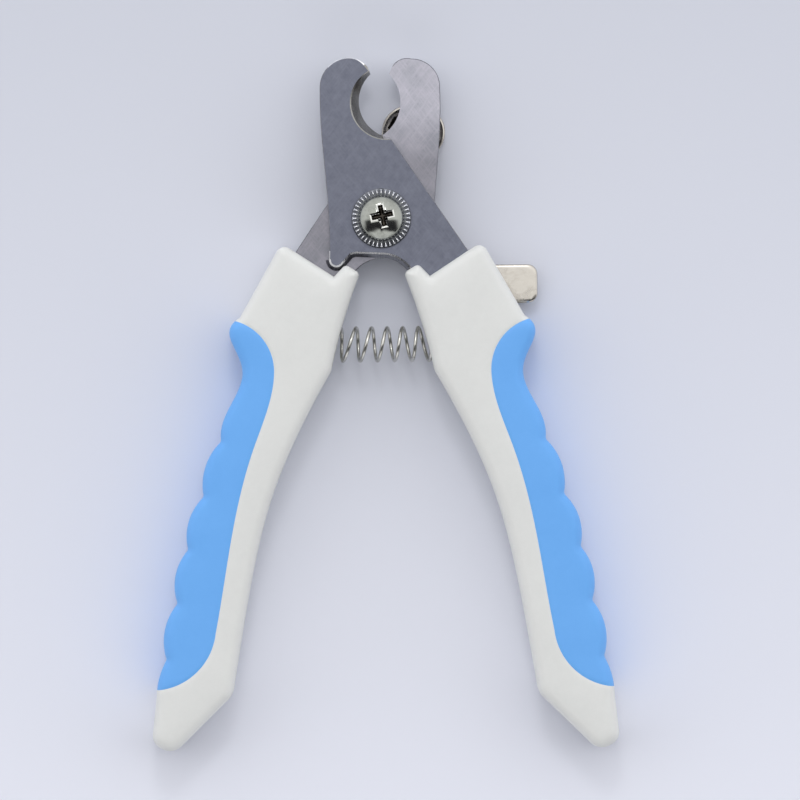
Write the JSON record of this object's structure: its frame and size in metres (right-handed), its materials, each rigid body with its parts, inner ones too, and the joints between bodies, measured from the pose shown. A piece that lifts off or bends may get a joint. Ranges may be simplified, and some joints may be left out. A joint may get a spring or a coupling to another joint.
{
  "type": "pet nail trimmer",
  "caption": "Plier-type pet nail trimmer with hooked passing blades, spring-opened two-tone handles and a swinging quick-stop guard.",
  "frame": {"origin": "on the pivot axis, at the plane where the two blades slide on each other", "axes": "+Z along the pivot axis, out of the screw head; +Y towards the jaws; +X towards the handle that carries the thumb tab"},
  "size_m": [0.1016, 0.1508, 0.0154],
  "materials": {
    "front_blade": "dark satin, brushed stainless steel",
    "rear_blade": "cross-ground stainless steel",
    "pivot_screw": "nickel plated",
    "serrated_washer": "polished nickel plated",
    "pivot_bush": "turned",
    "spring_washer": "spring steel",
    "guard_lever": "nickel plated",
    "plain_washer": "nickel plated",
    "pivot_nut": "nickel plated",
    "handle": "satin moulded ABS",
    "grip": "soft matt thermoplastic rubber",
    "return_spring": "bright drawn spring wire"
  },
  "bodies": {
    "right_half": {"front_blade": "front_blade", "right_handle": "handle", "right_grip": "grip", "pivot_screw": "pivot_screw", "serrated_washer": "serrated_washer", "pivot_bush": "pivot_bush", "spring_washer": "spring_washer", "plain_washer": "plain_washer", "pivot_nut": "pivot_nut", "return_spring": "return_spring"},
    "left_half": {"rear_blade": "rear_blade", "left_handle": "handle", "left_grip": "grip"},
    "guard": {"guard_lever": "guard_lever"}
  },
  "joints": [
    {"name": "handle_pivot", "type": "hinge", "parent": "right_half", "child": "left_half", "pos_m": [0, 0, 0], "axis": [0, 0, 1], "range_deg": [0, 35], "stiffness_Nm_per_rad": 0.5, "springref_deg": -20.05, "deforming": ["return_spring"]},
    {"name": "guard_swing", "type": "hinge", "parent": "right_half", "child": "guard", "pos_m": [0, 0, 0], "axis": [0, 0, 1], "range_deg": [-6, 22]}
  ]
}
